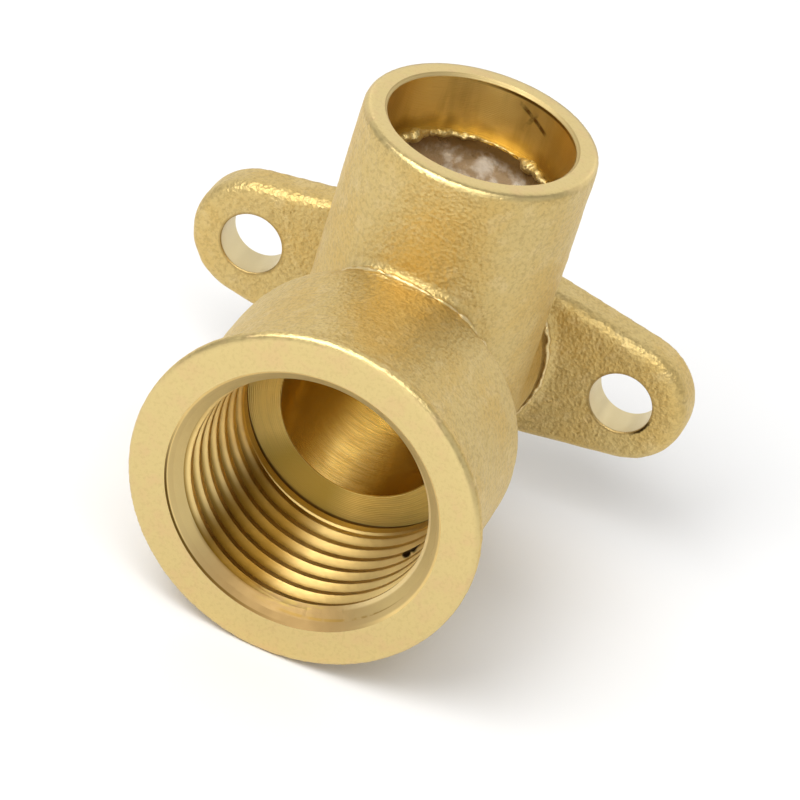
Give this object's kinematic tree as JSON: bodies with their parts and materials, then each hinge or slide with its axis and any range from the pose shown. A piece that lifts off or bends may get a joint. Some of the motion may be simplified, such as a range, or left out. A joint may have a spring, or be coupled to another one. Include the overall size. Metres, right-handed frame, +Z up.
{
  "type": "wall plate elbow",
  "caption": "Cast brass elbow for a wall: a threaded outlet faces the room, a plain socket takes the tube from above, and drilled ears screw it to the wall.",
  "frame": {"origin": "centre of the plate's back face, where the outlet axis meets the wall", "axes": "+Y into the wall, so the threaded outlet faces -Y; +Z up along the tube socket; the ears reach along X"},
  "size_m": [0.0434, 0.0342, 0.0362],
  "materials": {
    "brass": "matt blasted casting skin, satin turned rim and socket face, machined bores and thread"
  },
  "bodies": {
    "root": {"elbow_body": "brass"}
  },
  "joints": []
}
